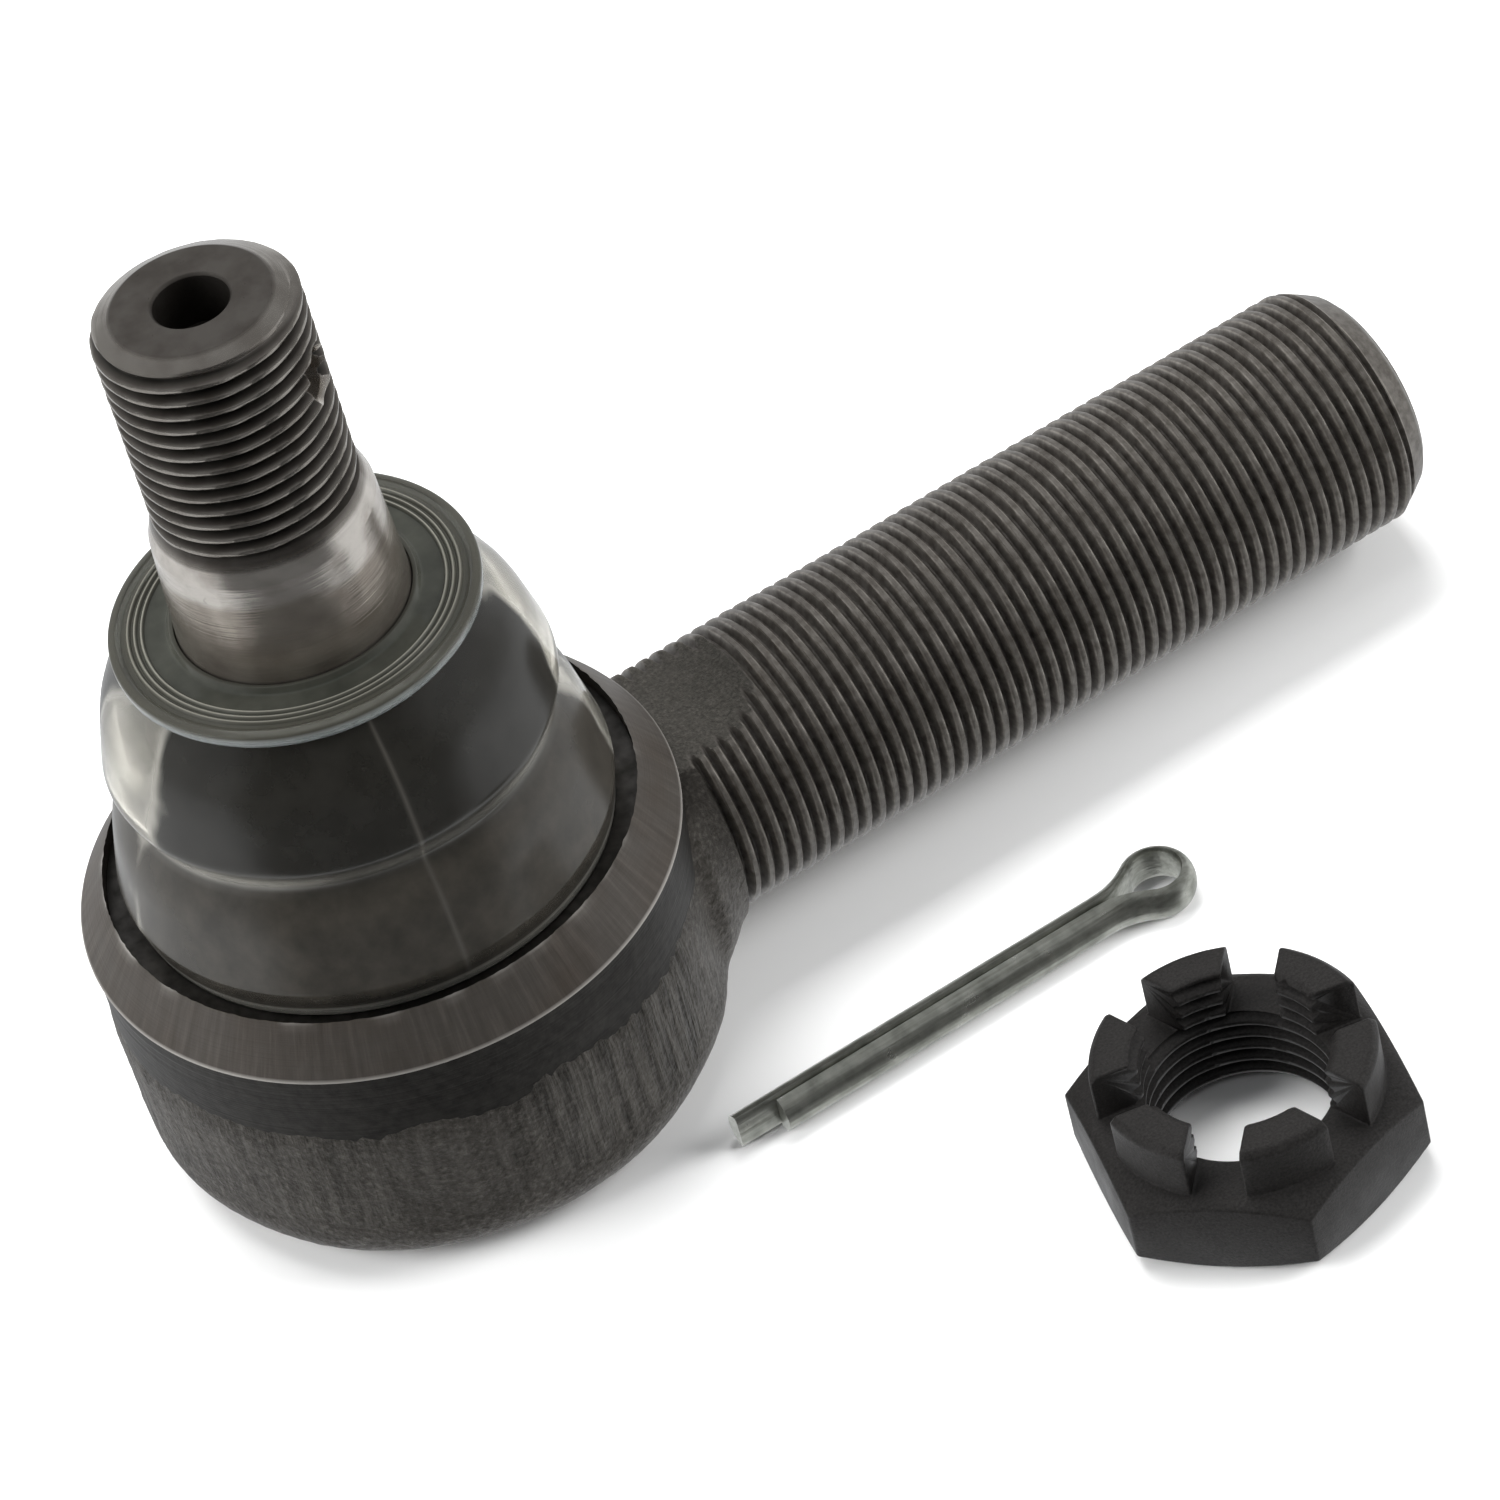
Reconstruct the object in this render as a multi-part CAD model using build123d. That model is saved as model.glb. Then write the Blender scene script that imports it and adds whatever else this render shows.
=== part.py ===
from build123d import *
from math import cos, radians, sin, sqrt
import os

# Tie rod end: a ball joint in a forged head on a threaded shank, with its castle nut and cotter pin.
#
# Frame: millimetres, +Z up along the stud, +X along the shank.
# The origin is the centre of the head's flat bottom, on the stud's axis.

os.makedirs("parts", exist_ok=True)

# ---------------------------------------------------------------- driving dimensions

# Forged head, turned on its upper band and on the sloping top ring.
head_radius = 27.1
head_corner_radius = 5.7
turned_band_radius = 26.75
turned_band_bottom = 18.0
turned_band_step = 0.5
ring_edge_radius = 27.0
ring_edge_height = 25.5
ring_edge_land = 0.3
ring_inner_radius = 23.95
ring_inner_height = 29.7

# Bores inside the head, from the floor up.
head_floor = 2.8
spring_pocket_radius = 11.2
spring_pocket_top = 4.4
bearing_floor_radius = 12.2
bearing_cone_top = 9.0
bearing_bore_radius = 16.6
closure_seat_height = 24.7
closure_seat_radius = 20.0
mouth_floor = 27.0

# Threaded shank, an M24 x 1.5 drawn at its major diameter.
shank_height = 13.25
shank_radius = 11.95
shank_length = 104.4
shank_chamfer_radial = 2.1
shank_chamfer_axial = 3.4
boss_radius = 13.1
boss_end = 27.8
boss_edge_radius = 1.2
flare_radius = 15.9
flare_start = 23.6
flare_end = 27.0
flat_height = 22.7
flat_straight_end = 31.0
flat_runout_radius = 9.2

# Ball stud: ball, neck, 1:10 taper and M18 x 1.5 thread drawn at its major diameter.
ball_height = 19.0
ball_radius = 13.0
ball_flat_radius = 4.0
neck_radius = 8.0
neck_fillet_radius = 2.0
neck_top = 44.0
taper_large_end = 50.0
taper_shoulder = 47.5
taper_small_end = 67.0
taper_small_radius = 9.75
taper_ratio = 10.0
thread_bottom = 69.2
stud_thread_radius = 8.95
stud_top = 89.9
stud_chamfer_radial = 2.2
stud_chamfer_axial = 1.3
centre_hole_radius = 3.25
centre_hole_depth = 5.0
centre_hole_tip = 0.7
cotter_hole_radius = 2.1
cotter_hole_height = 81.4
cotter_hole_azimuth = -40.0
cotter_hole_countersink = 0.45

# Bearing shells around the ball, the spring under them and the ring above them.
bearing_clearance = 0.05
shell_wall_clearance = 0.05
shell_opening_angle = 64.0
lower_shell_top = 18.6
upper_shell_bottom = 19.4
lower_shell_hole_radius = 3.0
lower_shell_floor_radius = 12.1
lower_shell_arc_angle = 135.0
upper_shell_arc_angle = 76.0
upper_shell_flare = 0.3
disc_spring_outer_radius = 11.0
disc_spring_inner_radius = 5.5
disc_spring_thickness = 1.0
closure_ring_bore = 12.6
closure_ring_clearance = 0.04
closure_ring_bevel = 0.8

# Boot and the rings that hold it.
base_ring_thickness = 1.2
base_ring_bore = 17.5
base_ring_lip_height = 2.4
base_ring_lip_thickness = 1.0
base_ring_clearance = 0.05
boot_gap = 0.1
boot_wall = 1.3
boot_foot_radius = 21.7
boot_skirt_radius = 22.35
boot_skirt_height = 31.3
boot_groove_radius = 18.9
boot_groove_height = 40.9
boot_bulge_radius = 20.3
boot_bulge_height = 43.6
boot_bulge_rounding = 1.9
boot_dome_radius = 18.6
boot_dome_height = 49.6
boot_top_radius = 15.2
boot_top = 54.2
grease_inner_radius = 11.2
grease_top = 50.6

# Sealing disc at the boot's head, which turns on the taper.
disc_bottom = 54.3
disc_top = 56.0
disc_lip_top = 56.6
disc_lip_radius = 10.75
disc_lip_width = 1.0
disc_radius = 16.2
disc_underside_radius = 15.6
disc_edge_bottom = 54.9
disc_edge_rounding = 0.35
disc_taper_clearance = 0.06
collar_bottom = 51.2
collar_radius = 12.2
insert_inner_radius = 12.4
insert_outer_radius = 14.7
insert_thickness = 1.1
insert_clearance = 0.04
garter_wire_radius = 0.6
garter_height = 52.7
garter_clearance = 0.02

# Castle nut, M18 x 1.5, drawn at its minor diameter, 27 mm across the flats.
nut_position = (47.8, -59.3)
nut_corner_angle = 16.4
nut_across_flats = 27.0
nut_hex_height = 8.0
nut_height = 13.0
nut_crown_radius = 12.4
nut_crown_chamfer = 0.6
nut_bore_radius = 8.19
nut_slot_width = 4.7
nut_slots = 6
nut_corner_chamfer_angle = 30.0
nut_chamfer_circle = 12.8
nut_mouth_chamfer = 0.8

# Cotter pin, 4 x 40, of half-round wire.
pin_tip = (14.2, -29.0)
pin_wire_radius = 1.85
pin_leg_length = 39.0
pin_short_leg_offset = 4.0
pin_leg_gap = 0.12
pin_eye_radius = 1.8
pin_eye_flare_radius = 8.0


# ---------------------------------------------------------------- helpers


def turned(*lines):
    """Solid of revolution about the stud's axis, from outline edges in (radius, height)."""
    edges = [edge for line in lines for edge in line.edges()]
    return revolve(Plane.XZ * make_face(edges), Axis.Z, 360)


def disc(radius, bottom, top):
    """Round plate about the stud's axis."""
    return Pos(0, 0, bottom) * extrude(Circle(radius), top - bottom)


def taper_radius(height):
    """Radius of the stud's taper at a height."""
    return taper_small_radius + (taper_small_end - height) / (2 * taper_ratio)


def on_ball(radius, angle):
    """Point of a sphere about the ball's centre, at an angle from +Z."""
    return (radius * sin(radians(angle)), ball_height + radius * cos(radians(angle)))


def save(node, shape):
    """Write one sub-part to its own file."""
    export_step(shape, f"parts/{node}.step")


# ---------------------------------------------------------------- housing


def bore_points():
    """Outline of the bores inside the head, from the floor's centre up to the mouth."""
    return [
        (0, head_floor),
        (spring_pocket_radius, head_floor),
        (spring_pocket_radius, spring_pocket_top),
        (bearing_floor_radius, spring_pocket_top),
        (bearing_bore_radius, bearing_cone_top),
        (bearing_bore_radius, closure_seat_height),
        (closure_seat_radius, closure_seat_height),
        (closure_seat_radius, mouth_floor),
        (ring_inner_radius, mouth_floor),
    ]


def head_outline():
    """Outside of the forged head up to its mouth, then down through the bores to the floor."""
    corner_start = (head_radius - head_corner_radius, 0)
    corner_end = (head_radius, head_corner_radius)
    corner = RadiusArc(corner_start, corner_end, -head_corner_radius)
    wall = Polyline(
        corner_end,
        (head_radius, turned_band_bottom - turned_band_step),
        (turned_band_radius, turned_band_bottom),
        (turned_band_radius, ring_edge_height - ring_edge_land),
        (ring_edge_radius, ring_edge_height),
        (ring_inner_radius, ring_inner_height),
        *reversed(bore_points()),
        (0, 0),
        corner_start,
    )
    return corner, wall


def head_bores():
    """The room inside the head, with its mouth carried on upwards, to cut the shank's root away."""
    return turned(Polyline(*bore_points(), (ring_inner_radius, stud_top), (0, stud_top), (0, head_floor)))


def shank():
    """Shank with its end chamfer, and the flared boss that carries it out of the head."""
    on_axis = Plane((0, 0, shank_height), x_dir=(0, 1, 0), z_dir=(1, 0, 0))
    rod = on_axis * extrude(Circle(shank_radius), shank_length)
    rod = chamfer(rod.edges().group_by(Axis.X)[-1], shank_chamfer_axial, shank_chamfer_radial)
    boss = on_axis * extrude(Circle(boss_radius), boss_end)
    boss = fillet(boss.edges().group_by(Axis.X)[-1], boss_edge_radius)
    core = on_axis * extrude(Circle(flare_radius), flare_start)
    flare_length = flare_end - flare_start
    flare = Cone(flare_radius, boss_radius, flare_length, align=(Align.CENTER, Align.CENTER, Align.MIN))
    return rod + boss + core + on_axis * Pos(0, 0, flare_start) * flare - below_ground()


def below_ground():
    """Block under the head's flat bottom, to cut the flare off level with it."""
    return Box(2 * shank_length, 4 * flare_radius, flare_radius, align=(Align.CENTER, Align.CENTER, Align.MAX))


def shank_flat():
    """Cutter for the as-forged flat on top of the shank, running out upwards on an arc."""
    runout_centre = (flat_straight_end, flat_height + flat_runout_radius)
    side = 4 * flare_radius
    block = Box(flat_straight_end, side, flare_radius, align=(Align.MIN, Align.CENTER, Align.MIN))
    runout = Cylinder(flat_runout_radius, side, rotation=(90, 0, 0))
    return Pos(0, 0, flat_height) * block + Pos(runout_centre[0], 0, runout_centre[1]) * runout


def housing():
    """Forged head and threaded shank, one solid."""
    return turned(*head_outline()) + (shank() - shank_flat()) - head_bores()


# ---------------------------------------------------------------- ball stud


def ball_stud():
    """Ball, neck, taper and thread, with the blind centre hole and the cotter pin's cross hole."""
    fillet_radius = neck_radius + neck_fillet_radius
    fillet_rise = sqrt((ball_radius + neck_fillet_radius) ** 2 - fillet_radius**2)
    share = ball_radius / (ball_radius + neck_fillet_radius)
    ball_end = (fillet_radius * share, ball_height + fillet_rise * share)
    neck_start = (neck_radius, ball_height + fillet_rise)
    flat_rise = sqrt(ball_radius**2 - ball_flat_radius**2)
    ball_start = (ball_flat_radius, ball_height - flat_rise)
    ball_side = (ball_radius, ball_height)
    chamfer_start = stud_top - stud_chamfer_axial
    body = turned(
        ThreePointArc(ball_start, ball_side, ball_end),
        RadiusArc(ball_end, neck_start, neck_fillet_radius),
        Polyline(
            neck_start,
            (neck_radius, neck_top),
            (taper_radius(taper_shoulder), taper_shoulder),
            (taper_radius(taper_large_end), taper_large_end),
            (taper_small_radius, taper_small_end),
            (stud_thread_radius, thread_bottom),
            (stud_thread_radius, chamfer_start),
            (stud_thread_radius - stud_chamfer_radial, stud_top),
            (0, stud_top),
            (0, ball_start[1]),
            ball_start,
        ),
    )
    hole_floor = stud_top - centre_hole_depth
    centre_hole = turned(
        Polyline(
            (0, stud_top + 1.0),
            (centre_hole_radius, stud_top + 1.0),
            (centre_hole_radius, hole_floor),
            (0, hole_floor - centre_hole_tip),
            (0, stud_top + 1.0),
        )
    )
    return body - centre_hole - cotter_hole()


def cotter_hole():
    """Cross hole for the cotter pin, with a small countersink at each end."""
    drill = Cylinder(cotter_hole_radius, 4 * stud_thread_radius)
    flare = 2 * cotter_hole_countersink
    mouth = Cone(cotter_hole_radius, cotter_hole_radius + flare, flare)
    for side in (0, 180):
        drill += Rot(side, 0, 0) * Pos(0, 0, stud_thread_radius) * mouth
    return Pos(0, 0, cotter_hole_height) * Rot(0, 0, cotter_hole_azimuth) * Rot(0, 90, 0) * drill


# ---------------------------------------------------------------- bearing


def lower_bearing_shell():
    """Lower half of the plastic bearing, with a grease hole under the ball."""
    outer_radius = bearing_bore_radius - shell_wall_clearance
    seat_radius = ball_radius + bearing_clearance
    seat_low = (lower_shell_hole_radius, ball_height - sqrt(seat_radius**2 - lower_shell_hole_radius**2))
    seat_rise = ball_height - lower_shell_top
    seat_high = (sqrt(seat_radius**2 - seat_rise**2), lower_shell_top)
    return turned(
        ThreePointArc(seat_low, on_ball(seat_radius, lower_shell_arc_angle), seat_high),
        Polyline(
            seat_high,
            (outer_radius, lower_shell_top),
            (outer_radius, bearing_cone_top + shell_wall_clearance),
            (lower_shell_floor_radius, spring_pocket_top),
            (lower_shell_hole_radius, spring_pocket_top),
            seat_low,
        ),
    )


def upper_bearing_shell():
    """Upper half of the plastic bearing, open for the neck to swing."""
    outer_radius = bearing_bore_radius - shell_wall_clearance
    seat_radius = ball_radius + bearing_clearance
    seat_rise = upper_shell_bottom - ball_height
    seat_low = (sqrt(seat_radius**2 - seat_rise**2), upper_shell_bottom)
    seat_high = on_ball(seat_radius, shell_opening_angle)
    return turned(
        ThreePointArc(seat_low, on_ball(seat_radius, upper_shell_arc_angle), seat_high),
        Polyline(
            seat_high,
            (seat_high[0] + upper_shell_flare, closure_seat_height),
            (outer_radius, closure_seat_height),
            (outer_radius, upper_shell_bottom),
            seat_low,
        ),
    )


def preload_disc_spring():
    """Dished spring washer that presses the lower shell up against the ball."""
    outer, inner = disc_spring_outer_radius, disc_spring_inner_radius
    return turned(
        Polyline(
            (outer, head_floor),
            (outer, head_floor + disc_spring_thickness),
            (inner, spring_pocket_top),
            (inner, spring_pocket_top - disc_spring_thickness),
            (outer, head_floor),
        )
    )


def closure_ring():
    """Steel ring pressed over the upper shell, bevelled so that the neck can swing."""
    outer = closure_seat_radius - closure_ring_clearance
    return turned(
        Polyline(
            (closure_ring_bore, closure_seat_height),
            (outer, closure_seat_height),
            (outer, mouth_floor),
            (closure_ring_bore + closure_ring_bevel, mouth_floor),
            (closure_ring_bore, mouth_floor - closure_ring_bevel),
            (closure_ring_bore, closure_seat_height),
        )
    )


# ---------------------------------------------------------------- boot


def boot_base_ring():
    """Steel ring pressed into the head's mouth, with an upright lip inside the boot's foot."""
    outer = ring_inner_radius - base_ring_clearance
    top = mouth_floor + base_ring_thickness
    lip_outer = base_ring_bore + base_ring_lip_thickness
    return turned(
        Polyline(
            (base_ring_bore, mouth_floor),
            (outer, mouth_floor),
            (outer, top),
            (lip_outer, top),
            (lip_outer, top + base_ring_lip_height),
            (base_ring_bore, top + base_ring_lip_height),
            (base_ring_bore, mouth_floor),
        )
    )


def boot_body(inset, bottom):
    """Boot's outer form taken in by an inset: skirt, groove, bulge and dome, from a height upwards."""
    foot = (boot_foot_radius - inset, bottom)
    skirt = (boot_skirt_radius - inset, boot_skirt_height)
    groove = (boot_groove_radius - inset, boot_groove_height)
    bulge = (boot_bulge_radius - inset, boot_bulge_height)
    dome = (boot_dome_radius - inset, boot_dome_height)
    head = (boot_top_radius - inset, boot_top)
    return turned(
        Polyline((0, boot_top), (0, bottom), foot, skirt, groove),
        RadiusArc(groove, bulge, boot_bulge_rounding),
        ThreePointArc(bulge, dome, head),
        Line(head, (0, boot_top)),
    )


def dust_boot():
    """Polyurethane boot, one wall thick and open at both ends."""
    foot = mouth_floor + base_ring_thickness + boot_gap
    return boot_body(0, foot) - boot_body(boot_wall, foot)


def grease_fill():
    """Grease packed inside the boot, around the stud's neck."""
    foot = mouth_floor + base_ring_thickness + base_ring_lip_height + boot_gap
    fill = boot_body(boot_wall + boot_gap, foot)
    return fill - disc(boot_bulge_radius, grease_top, stud_top) - disc(grease_inner_radius, 0, stud_top)


def boot_sealing_disc():
    """Boot's head: a collar on the taper and a flat disc that seals against the steering arm."""
    lip_radius = taper_radius(disc_lip_top) + disc_taper_clearance
    collar_inner = taper_radius(collar_bottom) + disc_taper_clearance
    edge = disc_edge_rounding
    groove_outer = insert_outer_radius + insert_clearance
    groove_inner = insert_inner_radius - insert_clearance
    groove_top = disc_bottom + insert_thickness + insert_clearance
    return turned(
        Polyline(
            (lip_radius, disc_lip_top),
            (collar_inner, collar_bottom),
            (collar_radius, collar_bottom),
            (collar_radius, disc_bottom),
            (groove_inner, disc_bottom),
            (groove_inner, groove_top),
            (groove_outer, groove_top),
            (groove_outer, disc_bottom),
            (disc_underside_radius, disc_bottom),
            (disc_radius, disc_edge_bottom),
            (disc_radius, disc_top - edge),
        ),
        RadiusArc((disc_radius, disc_top - edge), (disc_radius - edge, disc_top), -edge),
        Polyline(
            (disc_radius - edge, disc_top),
            (disc_lip_radius + disc_lip_width, disc_top),
            (disc_lip_radius, disc_lip_top),
            (lip_radius, disc_lip_top),
        ),
    )


def disc_insert_ring():
    """Flat steel ring moulded into the sealing disc's underside to keep it flat."""
    top = disc_bottom + insert_thickness
    return disc(insert_outer_radius, disc_bottom, top) - disc(insert_inner_radius, disc_bottom, top)


def neck_garter_ring():
    """Wire ring that squeezes the boot's collar onto the taper."""
    radius = collar_radius + garter_wire_radius + garter_clearance
    return Pos(0, 0, garter_height) * Torus(radius, garter_wire_radius)


# ---------------------------------------------------------------- castle nut and cotter pin


def castle_nut():
    """Six-slot castle nut, lying flat beside the joint."""
    corner_radius = nut_across_flats / sqrt(3)
    corner_drop = (corner_radius - nut_chamfer_circle) * sin(radians(nut_corner_chamfer_angle))
    hexagon = extrude(RegularPolygon(corner_radius, 6), nut_hex_height)
    inside = turned(
        Polyline(
            (0, 0),
            (nut_chamfer_circle, 0),
            (corner_radius, corner_drop),
            (corner_radius, nut_hex_height - corner_drop),
            (nut_chamfer_circle, nut_hex_height),
            (nut_crown_radius, nut_hex_height),
            (nut_crown_radius, nut_height - nut_crown_chamfer),
            (nut_crown_radius - nut_crown_chamfer, nut_height),
            (0, nut_height),
            (0, 0),
        )
    )
    crown = disc(nut_crown_radius, nut_hex_height, nut_height)
    bore = turned(
        Polyline(
            (0, 0),
            (nut_bore_radius + nut_mouth_chamfer, 0),
            (nut_bore_radius, nut_mouth_chamfer),
            (nut_bore_radius, nut_height - nut_mouth_chamfer),
            (nut_bore_radius + nut_mouth_chamfer, nut_height),
            (0, nut_height),
            (0, 0),
        )
    )
    body = ((hexagon + crown) & inside) - bore
    slot = Pos(0, 0, nut_hex_height) * Box(
        2 * corner_radius, nut_slot_width, nut_height, align=(Align.CENTER, Align.CENTER, Align.MIN)
    )
    half_turn = 180 / nut_slots
    for index in range(nut_slots // 2):
        body -= Rot(0, 0, (2 * index + 1) * half_turn) * slot
    return Pos(*nut_position, 0) * Rot(0, 0, nut_corner_angle) * body


def cotter_pin():
    """Half-round wire doubled back on itself, with an open eye at one end and one leg longer."""
    side = pin_leg_gap / 2
    reach = sqrt((pin_eye_flare_radius + pin_eye_radius) ** 2 - (pin_eye_flare_radius + side) ** 2)
    eye_centre = pin_leg_length + reach
    share = pin_eye_radius / (pin_eye_flare_radius + pin_eye_radius)
    join = (eye_centre - reach * share, (pin_eye_flare_radius + side) * share)
    path = (
        Line((0, side), (pin_leg_length, side))
        + RadiusArc((pin_leg_length, side), join, -pin_eye_flare_radius)
        + ThreePointArc(join, (eye_centre + pin_eye_radius, 0), (join[0], -join[1]))
        + RadiusArc((join[0], -join[1]), (pin_leg_length, -side), -pin_eye_flare_radius)
        + Line((pin_leg_length, -side), (pin_short_leg_offset, -side))
    )
    start = Plane((0, side, 0), x_dir=(0, 1, 0), z_dir=(1, 0, 0))
    half_round = Circle(pin_wire_radius) & Pos(pin_wire_radius, 0) * Rectangle(
        2 * pin_wire_radius, 4 * pin_wire_radius
    )
    wire = sweep(start * half_round, path=path)
    return Pos(*pin_tip, pin_wire_radius) * wire


# ---------------------------------------------------------------- write every sub-part

save("housing", housing())
save("ball_stud", ball_stud())
save("lower_bearing_shell", lower_bearing_shell())
save("upper_bearing_shell", upper_bearing_shell())
save("preload_disc_spring", preload_disc_spring())
save("closure_ring", closure_ring())
save("boot_base_ring", boot_base_ring())
save("dust_boot", dust_boot())
save("grease_fill", grease_fill())
save("boot_sealing_disc", boot_sealing_disc())
save("disc_insert_ring", disc_insert_ring())
save("neck_garter_ring", neck_garter_ring())
save("castle_nut", castle_nut())
save("cotter_pin", cotter_pin())
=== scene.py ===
from math import acos, cos, pi, radians, sin, tan

import bmesh
import bpy
import numpy as np
from mathutils import Matrix, Quaternion, Vector, noise


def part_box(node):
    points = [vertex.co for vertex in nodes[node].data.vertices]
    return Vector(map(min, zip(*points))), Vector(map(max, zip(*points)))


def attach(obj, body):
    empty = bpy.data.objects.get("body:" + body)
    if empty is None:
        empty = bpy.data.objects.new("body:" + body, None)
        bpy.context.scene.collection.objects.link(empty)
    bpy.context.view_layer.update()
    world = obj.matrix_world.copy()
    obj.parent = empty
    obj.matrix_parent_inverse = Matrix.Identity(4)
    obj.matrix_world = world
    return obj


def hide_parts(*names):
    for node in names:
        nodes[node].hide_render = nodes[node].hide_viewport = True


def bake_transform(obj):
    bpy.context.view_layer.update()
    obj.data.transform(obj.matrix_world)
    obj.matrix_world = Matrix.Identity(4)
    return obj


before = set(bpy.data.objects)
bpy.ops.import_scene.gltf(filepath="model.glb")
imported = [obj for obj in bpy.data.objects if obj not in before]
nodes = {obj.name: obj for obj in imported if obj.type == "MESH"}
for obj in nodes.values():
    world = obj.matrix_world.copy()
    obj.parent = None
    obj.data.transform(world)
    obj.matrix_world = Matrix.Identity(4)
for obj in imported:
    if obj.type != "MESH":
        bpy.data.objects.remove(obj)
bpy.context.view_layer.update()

# Tie rod end: forged head, threaded shank, swivelling stud under a clear boot, loose castle nut and pin.
# Sizes below are in millimetres, in the frame's own axes: +Z up the stud, +X along the shank.
MM = 0.001


def low(node):
    """Lowest corner of a CAD node in millimetres."""
    return np.array(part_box(node)[0]) / MM


def high(node):
    """Highest corner of a CAD node in millimetres."""
    return np.array(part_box(node)[1]) / MM


# ---------------------------------------------------------------- sizes

STUD_TOP = high("ball_stud")[2]
SHANK_END = high("housing")[0]
RING_TOP = high("housing")[2]
HEAD_RADIUS = -low("housing")[0]
BOOT_TOP = high("dust_boot")[2]
BOOT_FOOT = low("dust_boot")[2]
DISC_TOP = high("boot_sealing_disc")[2]
DISC_RADIUS = high("boot_sealing_disc")[0]
NUT_CENTRE = (low("castle_nut") + high("castle_nut")) / 2
PIN_TIP = np.array((low("cotter_pin")[0], (low("cotter_pin")[1] + high("cotter_pin")[1]) / 2, 0.0))

PITCH = 1.5
THREAD_DEPTH = 0.9
SHANK_HEIGHT = 13.25
SHANK_RADIUS = 11.95
SHANK_CHAMFER_RADIAL = 2.1
SHANK_CHAMFER_AXIAL = 3.4
BOSS_RADIUS = 13.0
BOSS_END = 27.6
FLARE_RADIUS = 15.9
FLARE_START = 23.6
FLARE_END = 27.0
FLAT_HEIGHT = 22.7
FLAT_STRAIGHT_END = 31.0
FLAT_RUNOUT_RADIUS = 9.2

HEAD_CORNER = 5.7
BAND_RADIUS = 26.75
RING_EDGE_RADIUS = 27.0
RING_EDGE_HEIGHT = 25.5
RING_INNER_RADIUS = 23.95
MOUTH_FLOOR = 27.0

STUD_RADIUS = 8.95
STUD_THREAD_START = 69.2
BALL_HEIGHT = 19.0
BALL_RADIUS = 13.0
COTTER_HOLE_HEIGHT = 81.4
COTTER_HOLE_RADIUS = 2.1
COTTER_HOLE_AZIMUTH = -40.0

BOOT_WALL = 1.3
FOLD_HEIGHT = 42.0
MOULD_LINE_AZIMUTH = -96.0
GREASE_POCKETS = ((-182.0, 22.0), (-14.0, 22.0), (82.0, 9.0))  # azimuth and half width in degrees
NUT_BORE_RADIUS = 8.19
PIN_WIRE_RADIUS = 1.85
PIN_LEG = 39.0
PIN_SHORT_LEG_START = 4.0
PIN_EYE_RADIUS = 1.8
PIN_FLARE_RADIUS = 8.0
PIN_GAP = 0.12
PIN_EYE_THINNING = 0.34


# ---------------------------------------------------------------- mesh making


def outline(points, closed=False, step=0.8, arc_step=9.0):
    """Dense outline through (across, along, rounding) points, each corner rounded by its own radius."""
    count = len(points)
    runs = []
    for index, (across, along, rounding) in enumerate(points):
        here = np.array((across, along), float)
        inner = closed or 0 < index < count - 1
        if rounding == 0 or not inner:
            runs.append([here])
            continue
        before = np.array(points[index - 1][:2], float) - here
        after = np.array(points[(index + 1) % count][:2], float) - here
        half = acos(np.clip(before @ after / np.linalg.norm(before) / np.linalg.norm(after), -1, 1)) / 2
        room = 0.49 * min(np.linalg.norm(before), np.linalg.norm(after))
        reach = min(rounding / tan(half), room)
        start = before / np.linalg.norm(before) * reach
        end = after / np.linalg.norm(after) * reach
        centre = (start + end) / 2 / cos(half) ** 2
        turn = pi - 2 * half
        shares = np.linspace(0, 1, max(2, int(turn / radians(arc_step)) + 2))
        arc = [
            here + centre
            + (sin((1 - s) * turn) * (start - centre) + sin(s * turn) * (end - centre)) / sin(turn)
            for s in shares
        ]
        runs.append(arc)
    corners = [point for run in runs for point in run]
    if closed:
        corners.append(corners[0])
    dense = [corners[0]]
    for start, end in zip(corners, corners[1:]):
        pieces = max(1, int(np.linalg.norm(end - start) / step))
        dense += [start + (end - start) * k / pieces for k in range(1, pieces + 1)]
    return np.array(dense[:-1] if closed else dense)


def turned(profile, segments=240):
    """Rings of points about Z for an outline in (radius, height)."""
    angle = np.linspace(0, 2 * pi, segments, endpoint=False)
    radius, height = profile[:, :1], profile[:, 1:]
    return np.stack((radius * np.cos(angle), radius * np.sin(angle), height + 0 * angle), axis=-1)


def grain(points, size, seed=0.0):
    """Smooth noise from -1 to 1 at points, with features of a size in millimetres."""
    flat = points.reshape(-1, 3) / size + seed
    return np.array([noise.noise(Vector(p)) for p in flat]).reshape(points.shape[:-1])


def smooth_step(start, end, value):
    """0 before start, 1 after end, smooth between."""
    share = np.clip((value - start) / (end - start), 0, 1)
    return share * share * (3 - 2 * share)


def pushed(rings, amount):
    """Rings about Z moved outwards by an amount at each point."""
    radius = np.hypot(rings[..., 0], rings[..., 1])
    scale = 1 + amount / np.maximum(radius, 0.1)
    return rings * np.stack((scale, scale, np.ones_like(scale)), axis=-1)


def new_object(name, mesh, body, material):
    """Object on a CAD body, with its material."""
    piece = bpy.data.objects.new(name, mesh)
    bpy.context.scene.collection.objects.link(piece)
    if material:
        piece.data.materials.clear()
        piece.data.materials.append(material)
    if body:
        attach(piece, body)
    return piece


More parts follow.
